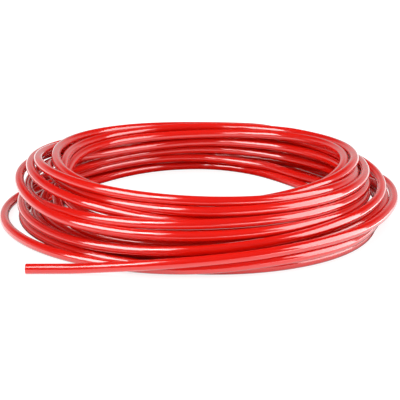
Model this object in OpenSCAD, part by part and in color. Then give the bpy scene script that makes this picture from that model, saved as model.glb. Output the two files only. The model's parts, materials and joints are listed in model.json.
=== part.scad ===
// Coiled air hose: one length of plain plastic tube, laid down in a loose heap of turns.
// The heap is one solid. The two stretches that leave it, the tail in front and the lowest
// turn that has slipped outwards, are tubes, and each ends in a bored, square-cut end.
// +Z is up, the hose lies on z = 0, and +X is to the right of the front, which faces -Y.

/* [Tube] */
// Outside diameter of the tube
tube_od = 8; // [6:0.5:10]
// Bore of the tube
tube_id = 5; // [2.5:0.5:5.5]
// Straight length at each cut end
end_len = 30; // [15:1:50]

/* [Heap of turns] */
// Outside radius of the turns
heap_r = 163; // [158:0.5:164]
// Clear radius inside the narrowest turns
eye_r = 115; // [100:1:122]
// Height of the narrowest turns at mid tube
eye_h = 43; // [30:1:46]
// Clear radius inside the turns on the floor
foot_r = 126; // [118:1:135]
// Height of the topmost turns
heap_h = 56; // [54:0.5:64]
// Outside radius of the topmost turns
crown_r = 150; // [140:1:154]
// Height where the outer side starts to lean in
shoulder_h = 46; // [36:1:50]

/* [Loose ends] */
// Angle of the outer cut end's axis, seen from above
outer_heading = 150; // [140:1:155]
// Angle of the tail's axis at its cut end, seen from above
tail_heading = 180; // [175:1:185]

/* [Hidden] */

tube_r = tube_od / 2;
bore_r = tube_id / 2;
tube_sides = 12;
// Rings of the swept tubes between two neighbouring points of a route
rings = 3;
round_fn = 96;
// How far the bore's cutter stands out of each face
cut = 1;
hose_red = [0.83, 0.03, 0.02];

// Routes of the loose stretches: angle from +X, how far the tube's middle is outside heap_r,
// and the tube's lift above the floor
outer_route = [
    [100, 0, 1.5], [118, 0.5, 0.5], [140, 2, 0], [162, 6.5, 0], [182, 8, 0],
    [204, 6.5, 0], [226, 5, 0], [248, 5, 0.5], [270, 7.5, 2.8], [285, 9, 5.8],
    [300, 8.5, 7.3], [315, 5, 7.3], [330, -2, 7.5], [345, -6, 9], [360, -6, 10],
    [380, -2, 8], [402, 3, 1],
];
tail_route = [
    [246, 19, 2.3], [256, 14.5, 6], [270, 11, 9.6], [285, 11.3, 13.4], [300, 9.5, 15.2],
    [315, 7.3, 15.4], [330, 5, 15.6], [345, 4, 16], [360, 6, 16.5], [375, 6.5, 17],
    [390, 3, 15], [405, 0, 13],
];
// The middles of the two cut faces, in the same way
outer_tip = [75, 13, 0];
tail_tip = [231, 46, 0];

function heading(angle) = [cos(angle), sin(angle), 0];
function place(p) = (heap_r + p[1]) * heading(p[0]) + [0, 0, tube_r + p[2]];
// Where a straight cut end joins the rest of the tube
function root(tip, angle) = place(tip) - end_len * heading(angle);

outer_root = root(outer_tip, outer_heading);
tail_root = root(tail_tip, tail_heading);
// Each list has one more point at both ends, which gives the curve its direction there: a cut
// end's own, or straight on
lead = 40;
outer_last = len(outer_route) - 1;
outer_points = concat([2 * place(outer_route[0]) - place(outer_route[1])],
    [for (p = outer_route) place(p)],
    [outer_root, place(outer_route[outer_last]) + lead * heading(outer_heading)]);
tail_last = len(tail_route) - 1;
tail_points = concat([place(tail_route[0]) + lead * heading(tail_heading), tail_root],
    [for (p = tail_route) place(p)],
    [2 * place(tail_route[tail_last]) - place(tail_route[tail_last - 1])]);

// Catmull-Rom curve through p[i] and p[i + 1], and its direction
function on_curve(p, i, t) = (2 * p[i] + (p[i + 1] - p[i - 1]) * t
    + (2 * p[i - 1] - 5 * p[i] + 4 * p[i + 1] - p[i + 2]) * t * t
    + (3 * p[i] - p[i - 1] - 3 * p[i + 1] + p[i + 2]) * t * t * t) / 2;
function direction(p, i, t) = ((p[i + 1] - p[i - 1])
    + 2 * (2 * p[i - 1] - 5 * p[i] + 4 * p[i + 1] - p[i + 2]) * t
    + 3 * (3 * p[i] - p[i - 1] - 3 * p[i + 1] + p[i + 2]) * t * t) / 2;

// One ring of the tube, square to its direction, with its first corner level with its middle
function ring(middle, along) =
    let (side = cross(along, [0, 0, 1]) / norm(cross(along, [0, 0, 1])),
         up = cross(side, along) / norm(cross(side, along)))
    [for (k = [0 : tube_sides - 1])
        middle + tube_r * (cos(360 * k / tube_sides) * side + sin(360 * k / tube_sides) * up)];

// A round tube along all but the first and last of the points
module swept_tube(points) {
    spans = len(points) - 3;
    places = concat([for (i = [1 : spans], k = [0 : rings - 1]) [i, k / rings]], [[spans, 1]]);
    corners = [for (s = places)
        each ring(on_curve(points, s[0], s[1]), direction(points, s[0], s[1]))];
    last = (len(places) - 1) * tube_sides;
    sides = [for (j = [0 : len(places) - 2], k = [0 : tube_sides - 1])
        let (a = j * tube_sides + k, b = j * tube_sides + (k + 1) % tube_sides)
        [a, b, b + tube_sides, a + tube_sides]];
    caps = [
        [for (k = [0 : tube_sides - 1]) tube_sides - 1 - k],
        [for (k = [0 : tube_sides - 1]) last + k],
    ];
    polyhedron(points = corners, faces = concat(sides, caps), convexity = 6);
}

// A straight, bored end of the tube, whose cut face looks along the heading
module cut_end(tip, angle) {
    translate(root(tip, angle))
        rotate([0, 90, angle])
            difference() {
                cylinder(h = end_len, r = tube_r, $fn = round_fn);
                translate([0, 0, -cut])
                    cylinder(h = end_len + 2 * cut, r = bore_r, $fn = round_fn);
            }
}

// Middles of the tubes at the corners of the heap's section, anticlockwise from the foot
section = [
    [foot_r + tube_r, tube_r],
    [heap_r - tube_r, tube_r],
    [heap_r - tube_r, shoulder_h - tube_r],
    [crown_r - tube_r, heap_h - tube_r],
    [eye_r + 2 * tube_r, heap_h - tube_r],
    [eye_r + tube_r, eye_h],
];

// The two ends of the straight side that is tangent to the tubes at corners a and b
function flank(a, b) =
    let (out = tube_r * [b[1] - a[1], a[0] - b[0]] / norm(b - a))
    [a + out, b + out];

// The heap of turns: its section is the outline around the tubes at the corners
module heap() {
    corners = len(section);
    color(hose_red)
        rotate_extrude($fn = 2 * round_fn) {
            polygon([for (i = [0 : corners - 1]) each flank(section[i], section[(i + 1) % corners])]);
            for (c = section)
                translate(c)
                    circle(r = tube_r, $fn = round_fn);
        }
}

// The lowest turn, which lies outside the others on the left and in front
module outer_turn() {
    color(hose_red)
        swept_tube(outer_points);
}

module outer_end() {
    color(hose_red)
        cut_end(outer_tip, outer_heading);
}

// The free end's stretch, which climbs on to the lowest turn in front and round the right
module tail() {
    color(hose_red)
        swept_tube(tail_points);
}

module tail_end() {
    color(hose_red)
        cut_end(tail_tip, tail_heading);
}

heap();
outer_turn();
outer_end();
tail();
tail_end();
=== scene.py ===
# %% [markdown]
# # A coiled air hose
#
# This lesson makes one length of red plastic air hose, a bit over 13 m of it, thrown down in a
# loose heap of fourteen turns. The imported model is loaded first. It holds the true sizes, and
# everything here is in its frame, in metres, with Z up and the front facing -Y.

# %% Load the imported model
import json
import math

import bmesh
import bpy
import numpy as np
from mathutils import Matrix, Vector


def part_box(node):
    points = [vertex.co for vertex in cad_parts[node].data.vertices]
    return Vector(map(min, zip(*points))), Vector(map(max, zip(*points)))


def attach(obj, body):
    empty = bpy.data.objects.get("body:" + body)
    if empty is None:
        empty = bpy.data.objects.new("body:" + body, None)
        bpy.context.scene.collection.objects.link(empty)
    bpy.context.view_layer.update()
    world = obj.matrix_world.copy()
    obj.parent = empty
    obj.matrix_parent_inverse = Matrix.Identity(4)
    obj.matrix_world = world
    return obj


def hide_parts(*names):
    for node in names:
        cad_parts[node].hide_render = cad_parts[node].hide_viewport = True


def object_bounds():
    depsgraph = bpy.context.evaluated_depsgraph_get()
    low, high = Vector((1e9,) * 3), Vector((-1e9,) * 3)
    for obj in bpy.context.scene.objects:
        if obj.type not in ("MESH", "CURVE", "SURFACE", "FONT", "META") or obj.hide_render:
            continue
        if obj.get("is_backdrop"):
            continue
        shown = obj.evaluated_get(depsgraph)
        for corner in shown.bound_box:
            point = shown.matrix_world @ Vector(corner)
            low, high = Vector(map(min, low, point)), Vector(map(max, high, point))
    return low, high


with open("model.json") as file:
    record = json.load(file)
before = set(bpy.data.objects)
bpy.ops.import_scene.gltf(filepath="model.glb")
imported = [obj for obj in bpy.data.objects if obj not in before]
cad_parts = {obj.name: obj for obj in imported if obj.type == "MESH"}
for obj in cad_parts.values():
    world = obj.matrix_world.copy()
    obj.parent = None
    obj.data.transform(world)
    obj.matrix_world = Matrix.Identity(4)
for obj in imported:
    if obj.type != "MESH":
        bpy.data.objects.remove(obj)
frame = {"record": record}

cad_box = [list(corner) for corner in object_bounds()]
heap_low, heap_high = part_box("heap")
end_low, end_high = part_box("tail_end")
mounts = {m["name"]: m for m in frame["record"]["mounts"]}
heap_radius = (heap_high[0] - heap_low[0]) / 2
tube_width = end_high[2] - end_low[2]
tube_radius = tube_width / 2
bore_radius = mounts["tail_bore"]["dims"]["r_mm"] / 1000
end_length = mounts["tail_outside"]["dims"]["length_mm"] / 1000
print(f"tube {tube_width * 1000:.1f} mm, bore {bore_radius * 2000:.1f} mm")
print(f"heap {heap_radius * 2000:.0f} mm across")

# %% [markdown]
# ## The camera
#
# The hose is seen from the front, a little from above, through a long lens, so that the turns
# stay nearly parallel. The camera is made first, because the room that a hose may take up is
# measured against what it sees. It could be turned by typing angles. Aiming it at a point with
# to_track_quat is easier to read, and keeps the horizon level.

# %% Camera
def aim(thing, target):
    """Turns a camera or a lamp so that it looks from where it is towards the target."""
    look = Vector(target) - thing.location
    thing.rotation_mode = "QUATERNION"
    thing.rotation_quaternion = look.to_track_quat("-Z", "Y")


camera = bpy.data.objects.new("camera", bpy.data.cameras.new("camera"))
bpy.context.scene.collection.objects.link(camera)
camera.data.sensor_width = 36
camera.data.lens = 109.8
camera.data.clip_start = 0.05
camera.data.clip_end = 50
camera.location = (0, -1.033, 0.304)
aim(camera, (0, -0.046, 0.025))
bpy.context.scene.camera = camera
print(f"camera {camera.location.length:.2f} m away")

# %% [markdown]
# ## The way the hose lies
#
# A hose that is thrown down doesn't make a spring: each turn wanders in and out and climbs over
# the one before. So the way it lies is written down turn by turn. The free end in front and the
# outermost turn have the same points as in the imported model: an angle in degrees, how far the
# middle of the tube is outside the heap, and its lift off the floor. The turns between them are
# given by radius and height at every eighth of a turn, from the back round to the left, the
# front and the right. A spiral with a little noise would be shorter to write, but then nobody
# could say which turn crosses which.

# %% The free end, the outermost turn and the two cut faces
tail_route = [
    (246, 0.019, 0.0023),
    (256, 0.0145, 0.006),
    (270, 0.011, 0.0096),
    (285, 0.0113, 0.0134),
    (300, 0.0095, 0.0152),
    (315, 0.0073, 0.0154),
    (330, 0.005, 0.0156),
    (345, 0.004, 0.016),
    (360, 0.006, 0.0165),
    (375, 0.0065, 0.017),
    (390, 0.003, 0.015),
    (405, 0, 0.013),
]
outer_route = [
    (100, 0, 0.0015),
    (118, 0.0005, 0.0005),
    (140, 0.002, 0),
    (162, 0.0065, 0),
    (182, 0.008, 0),
    (204, 0.0065, 0),
    (226, 0.005, 0),
    (248, 0.005, 0.0005),
    (270, 0.0075, 0.0028),
    (285, 0.009, 0.0058),
    (300, 0.0085, 0.0073),
    (315, 0.005, 0.0073),
    (330, -0.002, 0.0075),
    (345, -0.006, 0.009),
    (360, -0.006, 0.01),
    (380, -0.002, 0.008),
    (402, 0.003, 0.001),
]
tail_tip = (231, 0.046, 0)
tail_heading = 180
outer_tip = (75, 0.013, 0)
outer_heading = 150

# %% The turns of the heap: (radius, height) at the back, back left, left, front left ...
turns = [
    [(0.165, 0.018), (0.16, 0.017), (0.1555, 0.0155), (0.155, 0.0125),
     (0.159, 0.0175), (0.159, 0.026), (0.1575, 0.031), (0.161, 0.035)],
    [(0.164, 0.031), (0.161, 0.0335), (0.157, 0.037), (0.155, 0.029),
     (0.1555, 0.0275), (0.149, 0.028), (0.1445, 0.0245), (0.1515, 0.025)],
    [(0.156, 0.0275), (0.157, 0.0295), (0.15, 0.029), (0.15, 0.031),
     (0.151, 0.0355), (0.147, 0.035), (0.144, 0.032), (0.15, 0.031)],
    [(0.15, 0.0365), (0.149, 0.041), (0.141, 0.0505), (0.133, 0.0515),
     (0.138, 0.05), (0.139, 0.0465), (0.1335, 0.042), (0.146, 0.038)],
    [(0.16, 0.038), (0.1565, 0.0415), (0.1475, 0.046), (0.142, 0.041),
     (0.141, 0.035), (0.137, 0.034), (0.1295, 0.034), (0.1395, 0.032)],
    [(0.142, 0.0315), (0.131, 0.0315), (0.131, 0.044), (0.1305, 0.0435),
     (0.143, 0.043), (0.145, 0.0435), (0.1435, 0.0415), (0.154, 0.04)],
    [(0.1565, 0.044), (0.146, 0.0485), (0.1255, 0.0515), (0.125, 0.049),
     (0.128, 0.044), (0.127, 0.0475), (0.1345, 0.0495), (0.147, 0.0465)],
    [(0.147, 0.0455), (0.137, 0.0445), (0.1185, 0.045), (0.128, 0.035),
     (0.125, 0.035), (0.121, 0.043), (0.1255, 0.048), (0.1385, 0.045)],
    [(0.1375, 0.0405), (0.1285, 0.0405), (0.116, 0.038), (0.131, 0.027),
     (0.13, 0.027), (0.131, 0.026), (0.131, 0.025), (0.145, 0.02)],
    [(0.148, 0.023), (0.138, 0.021), (0.123, 0.027), (0.139, 0.018),
     (0.144, 0.0165), (0.137, 0.015), (0.136, 0.014), (0.1325, 0.009)],
    [(0.1495, 0.0135), (0.141, 0.0135), (0.138, 0.013), (0.137, 0.008),
     (0.142, 0.005), (0.138, 0.004), (0.127, 0.006), (0.1255, 0.004)],
    [(0.157, 0.004), (0.1385, 0.004), (0.142, 0.009), (0.146, 0.008),
     (0.149, 0.012), (0.155, 0.016), (0.16, 0.019), (0.153, 0.0145)],
    [(0.158, 0.0145), (0.15, 0.007), (0.154, 0.004), (0.154, 0.0045),
     (0.164, 0.004), (0.163, 0.004), (0.147, 0.004), (0.153, 0.004)],
    [(0.1635, 0.008)],
]
print(f"{len(turns)} turns are written down")

# %% [markdown]
# ## One smooth line through all of it
#
# A Bezier curve could be drawn through these points, but its handles would need care at every
# one of them. A natural cubic spline is the shape that a springy strip takes when it is held at
# the points, which is what a plastic hose does too. It is solved here with numpy: once for the
# radius and the height against the angle, and once more against the length, to join the turns
# to the two straight ends.

# %% A spline like a bent strip, and equal steps along a line
def bent_strip(knots, values, at):
    """The natural cubic spline through the values at the knots, read off at the given places."""
    knots = np.array(knots, float)
    values = np.array(values, float)
    gaps = np.diff(knots)
    count = len(knots)
    system = np.eye(count)
    right = np.zeros(values.shape)
    for i in range(1, count - 1):
        system[i, i - 1:i + 2] = gaps[i - 1], 2 * (gaps[i - 1] + gaps[i]), gaps[i]
        rise = (values[i + 1] - values[i]) / gaps[i]
        right[i] = 6 * (rise - (values[i] - values[i - 1]) / gaps[i - 1])
    bend = np.linalg.solve(system, right)
    i = np.clip(np.searchsorted(knots, at) - 1, 0, count - 2)
    gap = gaps[i][:, None]
    done = (at - knots[i])[:, None]
    left = gap - done
    bow = (bend[i] * left ** 3 + bend[i + 1] * done ** 3) / (6 * gap)
    start = values[i] / gap - bend[i] * gap / 6
    finish = values[i + 1] / gap - bend[i + 1] * gap / 6
    return bow + start * left + finish * done


def run_lengths(line):
    """How far along the line each of its points is."""
    return np.concatenate([[0], np.cumsum(np.linalg.norm(np.diff(line, axis=0), axis=1))])


def equal_steps(line, step):
    """The same line, with points a step apart."""
    lengths = run_lengths(line)
    at = np.linspace(0, lengths[-1], round(lengths[-1] / step) + 1)
    return np.stack([np.interp(at, lengths, line[:, k]) for k in range(3)], axis=1)


# %% From angles and radii to places
def place(angle, outside, lift):
    """The middle of the tube at an angle in degrees, that far outside the heap and lifted."""
    bearing = math.radians(angle)
    radius = heap_radius + outside
    return np.array([
        radius * math.cos(bearing), radius * math.sin(bearing), tube_radius + lift])


def straight_end(tip, heading):
    """Four points along a straight cut end, from its cut face back to where it starts to bend."""
    face = place(*tip)
    bearing = math.radians(heading)
    back = -end_length * np.array([math.cos(bearing), math.sin(bearing), 0])
    return [face + back * k / 3 for k in range(4)]


tail_points = straight_end(tail_tip, tail_heading)
outer_points = straight_end(outer_tip, outer_heading)[::-1]
print("tail's cut face at", np.round(tail_points[0], 4))

# %% All stations, one after the other: (angle, radius, height)
lap = 360
eighth_of_lap = lap // 8
back = 90
stations = [(angle, heap_radius + out, tube_radius + lift) for angle, out, lift in tail_route]
for number, row in enumerate(turns, start=1):
    for eighth, (radius, height) in enumerate(row):
        stations.append((back + lap * number + eighth_of_lap * eighth, radius, height))
for angle, out, lift in outer_route:
    stations.append((lap * len(turns) + angle, heap_radius + out, tube_radius + lift))
stations = np.array(stations)
print(f"{len(stations)} stations over {(stations[-1, 0] - stations[0, 0]) / lap:.1f} laps")

# %% The line of the whole hose
between_angles = 7.5
fine_step = 0.001
line_step = 0.004
angles = np.arange(stations[0, 0], stations[-1, 0], between_angles)
angles = np.append(angles, stations[-1, 0])
read = bent_strip(stations[:, 0], stations[:, 1:], angles)
radii, heights = read.T
turned = np.radians(angles)
middle = np.stack([radii * np.cos(turned), radii * np.sin(turned), heights], axis=1)
line = np.vstack([tail_points, middle, outer_points])
lengths = run_lengths(line)
line = bent_strip(lengths, line, np.arange(0, lengths[-1], fine_step))
line = equal_steps(np.vstack([line, outer_points[-1]]), line_step)
print(f"{run_lengths(line)[-1]:.2f} m of hose, {len(line)} points")

# %% [markdown]
# ## Letting the turns settle
#
# Where two turns were written down a little too close, the tubes would cut into each other. The
# real ones push each other aside. Blender's rigid bodies could do it, but a hose would need
# hundreds of links. Here each point of the line is a ball as wide as the tube. Balls that
# overlap push each other apart, the line's own stiffness spreads the push along the hose, and
# a weak pull keeps every point near its place. The last rounds only push.
#
# Comparing every ball with every other one takes long, so the pairs that lie near each other
# are looked up only now and then, with some room to spare.

# %% Which balls could touch
near = 1.35 * tube_width
neighbours = 6
block = 512


def near_pairs(line):
    """Pairs of points that lie near each other, apart from neighbours along the hose."""
    found = []
    for start in range(0, len(line), block):
        part = line[start:start + block]
        gaps = ((part[:, None, :] - line[None, :, :]) ** 2).sum(axis=2)
        i, j = np.where(gaps < near ** 2)
        ahead = j - (i + start) > neighbours
        found.append(np.stack([i[ahead] + start, j[ahead]], axis=1))
    return np.concatenate(found)


print(f"{len(near_pairs(line))} pairs are near each other")

# %% Pushing them apart, round after round
rounds = 120
pushing_rounds = 50
fresh_pairs_every = 6
keep_of_shift = 0.98
soft_bend, hard_bend = 0.04, 0.25
eagerness = 1.3


def push_apart(line, pairs):
    """Moves each overlapping pair away from each other, half of the overlap each."""
    i, j = pairs[:, 0], pairs[:, 1]
    apart = line[j] - line[i]
    gap = np.linalg.norm(apart, axis=1)
    close = gap < tube_width
    i, j = i[close], j[close]
    push = apart[close] * ((tube_width / gap[close] - 1) / 2)[:, None]
    moves = np.zeros(line.shape)
    count = np.zeros(len(line))
    np.add.at(moves, i, -push)
    np.add.at(moves, j, push)
    np.add.at(count, i, 1)
    np.add.at(count, j, 1)
    return line + eagerness * moves / np.maximum(count, 1)[:, None]


def settle(wanted):
    """The line after its overlaps have been pushed out, never under the floor."""
    line = wanted.copy()
    for done in range(rounds):
        if done % fresh_pairs_every == 0:
            pairs = near_pairs(line)
        pushing_only = done >= rounds - pushing_rounds
        shift = line - wanted
        if not pushing_only:
            shift = shift * keep_of_shift
        stiff = soft_bend if pushing_only else hard_bend
        shift[1:-1] += stiff * (shift[2:] + shift[:-2] - 2 * shift[1:-1])
        line = push_apart(wanted + shift, pairs)
        line[:, 2] = np.maximum(line[:, 2], tube_radius)
    return line


written = line
line = settle(written)
pairs = near_pairs(line)
closest = np.linalg.norm(line[pairs[:, 0]] - line[pairs[:, 1]], axis=1).min()
moved = np.linalg.norm(line - written, axis=1)
print(f"closest middles {closest * 1000:.2f} mm, moved {moved.max() * 1000:.1f} mm at most")

# %% [markdown]
# ## The tube
#
# The hose is one extruded tube of polyurethane with an open bore, cut square at both ends. It
# could be extruded ring by ring with bmesh, but every call walks the whole mesh, and 1700 rings
# take long. A poly curve with a round bevel makes the same rings at once, and turns them by the
# smallest rotation that follows the bend, so the surface never twists. It is then made a mesh.
# A Solidify modifier gives it the wall, inwards, and closes both cut faces.
#
# Every vertex keeps its place on the hose as if the hose were pulled straight, in an attribute
# named straight. Patterns that follow the hose read it, so they have no seam.

# %% Where the rings go: every 8 mm, and one more just behind each cut face
rim = 0.0003
rings = np.vstack([line[:-1:2], line[-1]])
first_way = (rings[1] - rings[0]) / np.linalg.norm(rings[1] - rings[0])
last_way = (rings[-1] - rings[-2]) / np.linalg.norm(rings[-1] - rings[-2])
rings = np.vstack([
    rings[0], rings[0] + rim * first_way, rings[1:-1],
    rings[-1] - rim * last_way, rings[-1]])
print(f"{len(rings)} rings")

# %% A curve with a round profile, made a mesh
curve = bpy.data.curves.new("hose_line", "CURVE")
curve.dimensions = "3D"
curve.twist_mode = "MINIMUM"
curve.bevel_depth = tube_radius
curve.bevel_resolution = 10
spline = curve.splines.new("POLY")
spline.points.add(len(rings) - 1)
spline.points.foreach_set("co", np.c_[rings, np.ones(len(rings))].ravel())
for point in (spline.points[0], spline.points[-1]):
    point.radius = 1 - rim / tube_radius
drawn = bpy.data.objects.new("hose_line", curve)
bpy.context.scene.collection.objects.link(drawn)
shown_curve = drawn.evaluated_get(bpy.context.evaluated_depsgraph_get())
hose_mesh = bpy.data.meshes.new_from_object(shown_curve)
hose_mesh.name = "air_hose"
hose_mesh.materials.clear()
bpy.data.objects.remove(drawn)
tube_sides = len(hose_mesh.vertices) // len(rings)
print(f"{tube_sides} sides, {len(hose_mesh.polygons)} faces")

# %% The place of every vertex on the straightened hose
number = np.arange(len(hose_mesh.vertices))
ring_of = number // tube_sides
around = 2 * math.pi * (number % tube_sides) / tube_sides
straight = np.stack([
    tube_radius * np.cos(around), tube_radius * np.sin(around), run_lengths(rings)[ring_of]],
    axis=1)
spots = hose_mesh.attributes.new("straight", "FLOAT_VECTOR", "POINT")
spots.data.foreach_set("vector", straight.ravel())

# %% Smooth sides and crisp rims
hose_mesh.shade_smooth()
ends = np.zeros(len(hose_mesh.edges) * 2, int)
hose_mesh.edges.foreach_get("vertices", ends)
edge_rings = ring_of[ends.reshape(-1, 2)]
same = edge_rings[:, 0] == edge_rings[:, 1]
cut_rings = (0, 1, len(rings) - 2, len(rings) - 1)
at_cut = same & np.isin(edge_rings[:, 0], cut_rings)
hose_mesh.edges.foreach_set("use_edge_sharp", at_cut)
sample = hose_mesh.polygons[len(hose_mesh.polygons) // 2]
from_middle = np.array(sample.center) - rings
nearest = from_middle[np.linalg.norm(from_middle, axis=1).argmin()]
print("rim edges:", int(at_cut.sum()), "outwards:", np.dot(nearest, sample.normal) > 0)

# %% The hose as one piece
hose = bpy.data.objects.new("air_hose", hose_mesh)
bpy.context.scene.collection.objects.link(hose)
wall = hose.modifiers.new("wall", "SOLIDIFY")
wall.thickness = tube_radius - bore_radius
wall.offset = -1
wall.use_even_offset = True
wall.use_rim = True
print(f"{hose.name}, with a wall of {wall.thickness * 1000:.1f} mm")

# %% The hose takes the place of the plain parts
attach(hose, "root")
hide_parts("heap", "outer_turn", "outer_end", "tail", "tail_end")

# %% [markdown]
# ## Writing shaders as sums
#
# A material is a network of small boxes, and doing sums with it by hand takes many lines. The
# class below wraps one output. Adding, taking away or multiplying two of them makes the Math
# box and its wires, so a mask can be written as it would be on paper. Everything else goes
# through one method, which takes the kind of box, its settings, and what its sockets get.

# %% Two small helpers for shaders
class Wire:
    """One output of a shader box. Sums of wires and numbers add their own Math boxes."""

    def __init__(self, finish, socket):
        self.finish = finish
        self.socket = socket

    def sum_box(self, operation, first, second):
        values = {0: first, 1: second}
        return self.finish.box("ShaderNodeMath", {"operation": operation}, values)

    def __add__(self, other):
        return self.sum_box("ADD", self, other)

    def __radd__(self, other):
        return self.sum_box("ADD", other, self)

    def __sub__(self, other):
        return self.sum_box("SUBTRACT", self, other)

    def __rsub__(self, other):
        return self.sum_box("SUBTRACT", other, self)

    def __mul__(self, other):
        return self.sum_box("MULTIPLY", self, other)

    def __rmul__(self, other):
        return self.sum_box("MULTIPLY", other, self)


class Finish:
    """A material or a world whose boxes are made from Python."""

    def __init__(self, owner):
        owner.use_nodes = True
        self.tree = owner.node_tree
        self.tree.nodes.clear()

    def box(self, kind, settings, sockets, output=0):
        """Adds one box, and returns one of its outputs."""
        node = self.tree.nodes.new(kind)
        for name, value in settings.items():
            setattr(node, name, value)
        for name, value in sockets.items():
            if isinstance(value, Wire):
                self.tree.links.new(value.socket, node.inputs[name])
            else:
                node.inputs[name].default_value = value
        return Wire(self, node.outputs[output]) if node.outputs else node

    def between(self, amount, first, second):
        """A colour that goes from the first to the second as the amount goes from 0 to 1."""
        settings = {"data_type": "RGBA"}
        return self.box(
            "ShaderNodeMix", settings, {0: amount, 6: first, 7: second}, output=2)

    def noise(self, place, scale, detail=2.0):
        """Noise from 0 to 1."""
        sockets = {"Vector": place, "Scale": scale, "Detail": detail}
        return self.box("ShaderNodeTexNoise", {}, sockets)

    def ramp(self, value, low, high):
        """0 below low, 1 above high, and smooth between them."""
        sockets = {"Value": value, "From Min": low, "From Max": high}
        settings = {"interpolation_type": "SMOOTHSTEP"}
        return self.box("ShaderNodeMapRange", settings, sockets)


# %% [markdown]
# ## Glossy red polyurethane
#
# The tube is dyed through, glossy, and slightly uneven: the colour is a touch deeper here and
# there, the die leaves the finest lines along it, and turns that were dragged over each other
# have faint rubbed streaks. A single red would look like a drawing. Each of these is its own
# noise on the straightened hose, stretched along it, and feeds the colour, the roughness or
# the bump.

# %% The hose's material
red_plastic = bpy.data.materials.new("red_polyurethane")
finish = Finish(red_plastic)
spot = finish.box("ShaderNodeAttribute", {"attribute_name": "straight"}, {}, output=1)
along = finish.box("ShaderNodeMapping", {}, {"Vector": spot, "Scale": (1, 1, 0.02)})
slow = finish.box("ShaderNodeMapping", {}, {"Vector": spot, "Scale": (20, 20, 6)})
die_lines = finish.noise(along, 900, 3)
rubbed = finish.ramp(finish.noise(along, 330, 4), 0.58, 0.78)
patches = finish.noise(slow, 1, 3)
worn = rubbed * finish.ramp(patches, 0.45, 0.7)
deep = (0.78, 0.005, 0.001, 1)
bright = (0.88, 0.008, 0.0015, 1)
chalky = (0.84, 0.03, 0.02, 1)
red = finish.between(finish.ramp(patches, 0.3, 0.7), deep, bright)
red = finish.between(worn * 0.35, red, chalky)
gloss = 0.11 + die_lines * 0.07 + worn * 0.16
ripple = finish.box(
    "ShaderNodeBump", {},
    {"Strength": 0.25, "Distance": 0.00005, "Height": die_lines})
plastic = finish.box(
    "ShaderNodeBsdfPrincipled", {},
    {"Base Color": red, "Roughness": gloss, "Normal": ripple, "IOR": 1.6,
     "Coat Weight": 1.0, "Coat Roughness": 0.06, "Coat IOR": 1.5})
finish.box("ShaderNodeOutputMaterial", {}, {"Surface": plastic})
hose_mesh.materials.append(red_plastic)
print("material", red_plastic.name, len(red_plastic.node_tree.nodes), "boxes")

# %% [markdown]
# ## The floor
#
# The hose lies on a plain white floor that goes on past the edges of the view. One white
# material would do, but then every change to a lamp would change the floor too. So it shows a
# different face to each kind of ray. To light that has bounced about it is white paper, which
# lights the undersides of the strands. To the camera it is a faint grey with a glow of its
# own, which comes out white and keeps the soft shadow where the hose touches it. In the gloss
# of the hose it is bright where it lies open, and dark in the shade around the heap and far in
# front. Under the front half of the heap it is painted a dark red, which stands in for the light
# that is lost between the turns. From behind, that ring looks like a heavy shadow.

# %% Floor
bm = bmesh.new()
bmesh.ops.create_grid(bm, x_segments=1, y_segments=1, size=6)
floor_mesh = bpy.data.meshes.new("floor")
bm.to_mesh(floor_mesh)
bm.free()
floor = bpy.data.objects.new("floor", floor_mesh)
bpy.context.scene.collection.objects.link(floor)
floor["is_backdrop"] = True
print("floor", [round(side, 1) for side in floor.dimensions[:2]], "m")

# %% The floor's zones, by distance from the middle and by depth
white_floor = bpy.data.materials.new("white_floor")
finish = Finish(white_floor)
direct = finish.box("ShaderNodeLightPath", {}, {}, output="Is Camera Ray")
mirrored = finish.box("ShaderNodeLightPath", {}, {}, output="Is Glossy Ray")
spot = finish.box("ShaderNodeTexCoord", {}, {}, output="Object")
depth = finish.box("ShaderNodeSeparateXYZ", {}, {"Vector": spot}, output=1)
away = finish.box(
    "ShaderNodeVectorMath", {"operation": "LENGTH"}, {0: spot}, output="Value")
far_front, near_front = -0.34, -0.2
shade_inside, shade_outside = (0.1, 0.13), (0.158, 0.182)
under_inside, under_outside, under_back = (0.115, 0.127), (0.14, 0.15), (0.05, 0.09)
not_in_front = finish.ramp(depth, far_front, near_front)
open_floor = finish.ramp(away, *shade_outside) + 1 - finish.ramp(away, *shade_inside)
# This mask marks a painted shadow: the ring of floor under the front half of the heap.
painted_shade = finish.ramp(away, *under_inside) * (1 - finish.ramp(away, *under_outside))
painted_shade = painted_shade * (1 - finish.ramp(depth, *under_back))
print("zones made from", len(white_floor.node_tree.nodes), "boxes")

# %% The floor's material
# The dark red of that painted shadow, shown to the camera and in the gloss of the hose.
painted_shade_red = (0.06, 0.002, 0.002, 1)
seen_glow, mirrored_glow = 0.85, 1.2
looked_at = direct + mirrored
own_light = direct * seen_glow + mirrored * not_in_front * open_floor * mirrored_glow
paper = finish.box("ShaderNodeBsdfDiffuse", {}, {"Color": (0.9, 0.9, 0.9, 1)})
faint_grey = finish.between(direct, (0.02, 0.02, 0.02, 1), (0.3, 0.3, 0.3, 1))
faint_grey = finish.between(painted_shade, faint_grey, painted_shade_red)
faint = finish.box("ShaderNodeBsdfDiffuse", {}, {"Color": faint_grey})
glow_colour = finish.between(painted_shade, own_light, painted_shade_red)
glow = finish.box("ShaderNodeEmission", {}, {"Color": glow_colour, "Strength": 1})
bright_paper = finish.box("ShaderNodeAddShader", {}, {0: faint, 1: glow})
shown = finish.box(
    "ShaderNodeMixShader", {}, {0: looked_at, 1: paper, 2: bright_paper})
finish.box("ShaderNodeOutputMaterial", {}, {"Surface": shown})
floor_mesh.materials.append(white_floor)
print("material", white_floor.name, len(white_floor.node_tree.nodes), "boxes")

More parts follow.
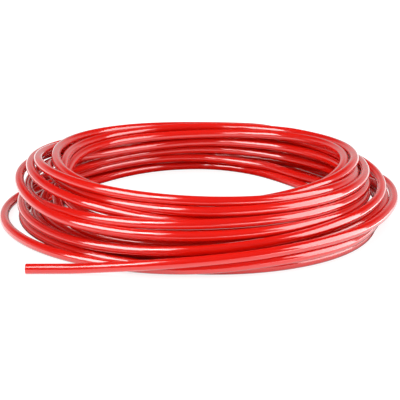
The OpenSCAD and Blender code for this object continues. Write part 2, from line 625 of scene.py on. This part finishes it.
# %% [markdown]
# ## The light
#
# Glossy plastic shows its lamps, so their size and place matter more than their power. The
# lamps below are there only to be mirrored. The plastic's own colour comes from the light of
# the room, so each of the two can be set without changing the other.
#
# One large softbox stands in front, to the left and above, and puts the long pale streaks on
# the front left of the strands. A larger one stands on the right and makes the wide pale bands
# there. A small one hangs over the free end and draws its thin bright line. A panel lies on
# the floor in front, to the right, and shines up at the undersides of the lowest strands.

# %% Softboxes
lit_point = Vector((0, 0, 0.03))


def softbox(name, towards, distance, size, radiance):
    """A rectangular lamp in a direction from the hose, as bright as the radiance says."""
    lamp = bpy.data.lights.new(name, "AREA")
    lamp.shape = "RECTANGLE"
    lamp.size = size[0]
    lamp.size_y = size[1]
    lamp.energy = radiance * math.pi * size[0] * size[1]
    thing = bpy.data.objects.new(name, lamp)
    bpy.context.scene.collection.objects.link(thing)
    thing.location = Vector(towards).normalized() * distance + lit_point
    aim(thing, lit_point)
    thing.visible_camera = False
    thing.visible_diffuse = False
    print(f"{name}: {lamp.energy:.0f} W")
    return thing


softbox("softbox_left", (-0.72, -0.48, 0.54), 0.9, (0.6, 0.62), 7.5)
softbox("softbox_right", (0.96, -0.2, 0.36), 1.1, (1, 1.1), 4.5)
softbox("softbox_over_tail", (-0.127, -0.272, 0.2), 0.36, (0.075, 0.18), 6)

# %% The panel on the floor, turned to face upwards
panel_lift = 0.003
face_up = math.pi
panel = softbox("floor_panel_right", (0.87, -0.5, 0), 0.42, (0.6, 0.42), 4)
panel.location.z = panel_lift
panel.rotation_mode = "XYZ"
panel.rotation_euler = (face_up, 0, math.radians(60))

# %% [markdown]
# ## The room
#
# The room also answers each kind of ray by itself. The camera sees plain white. The gloss sees
# near darkness, apart from a pale band low down behind the hose, which rims the strands. All
# other light comes from every side, twice as bright from above as from below, and brings out
# the plastic's own colour.

# %% The room
room = bpy.context.scene.world or bpy.data.worlds.new("room")
bpy.context.scene.world = room
finish = Finish(room)
direct = finish.box("ShaderNodeLightPath", {}, {}, output="Is Camera Ray")
mirrored = finish.box("ShaderNodeLightPath", {}, {}, output="Is Glossy Ray")
sky = finish.box("ShaderNodeTexCoord", {}, {}, output=0)
height = finish.box("ShaderNodeSeparateXYZ", {}, {"Vector": sky}, output=2)
depth = finish.box("ShaderNodeSeparateXYZ", {}, {"Vector": sky}, output=1)
behind = finish.ramp(depth, -0.2, 0.4)
low = 1 - finish.ramp(height, 0.2, 0.5)
darkest, pale_band = 0.015, 0.45
from_below, more_from_above = 0.62, 0.7
shine = darkest + pale_band * behind * low
fill = finish.ramp(height, -0.1, 0.6) * more_from_above + from_below
room_light = direct + mirrored * shine + (1 - direct - mirrored) * fill
light = finish.box("ShaderNodeBackground", {}, {"Color": room_light, "Strength": 1})
finish.box("ShaderNodeOutputWorld", {}, {"Surface": light})
room.cycles.sampling_method = "NONE"
bpy.context.scene.view_settings.view_transform = "Standard"
print("room", len(room.node_tree.nodes), "boxes")

# %% [markdown]
# ## The two boxes
#
# The imported model's box and the modelled hose's box are printed side by side, in millimetres.
# The finished hose has to stay inside the imported model's box, apart from a few millimetres.

# %% Both boxes, and the end
seen_box = [list(corner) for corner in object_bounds()]
for name, box in (("packed", cad_box), ("modelled", seen_box)):
    sides = [round((box[1][k] - box[0][k]) * 1000, 1) for k in range(3)]
    print(name, "box", sides, "mm")
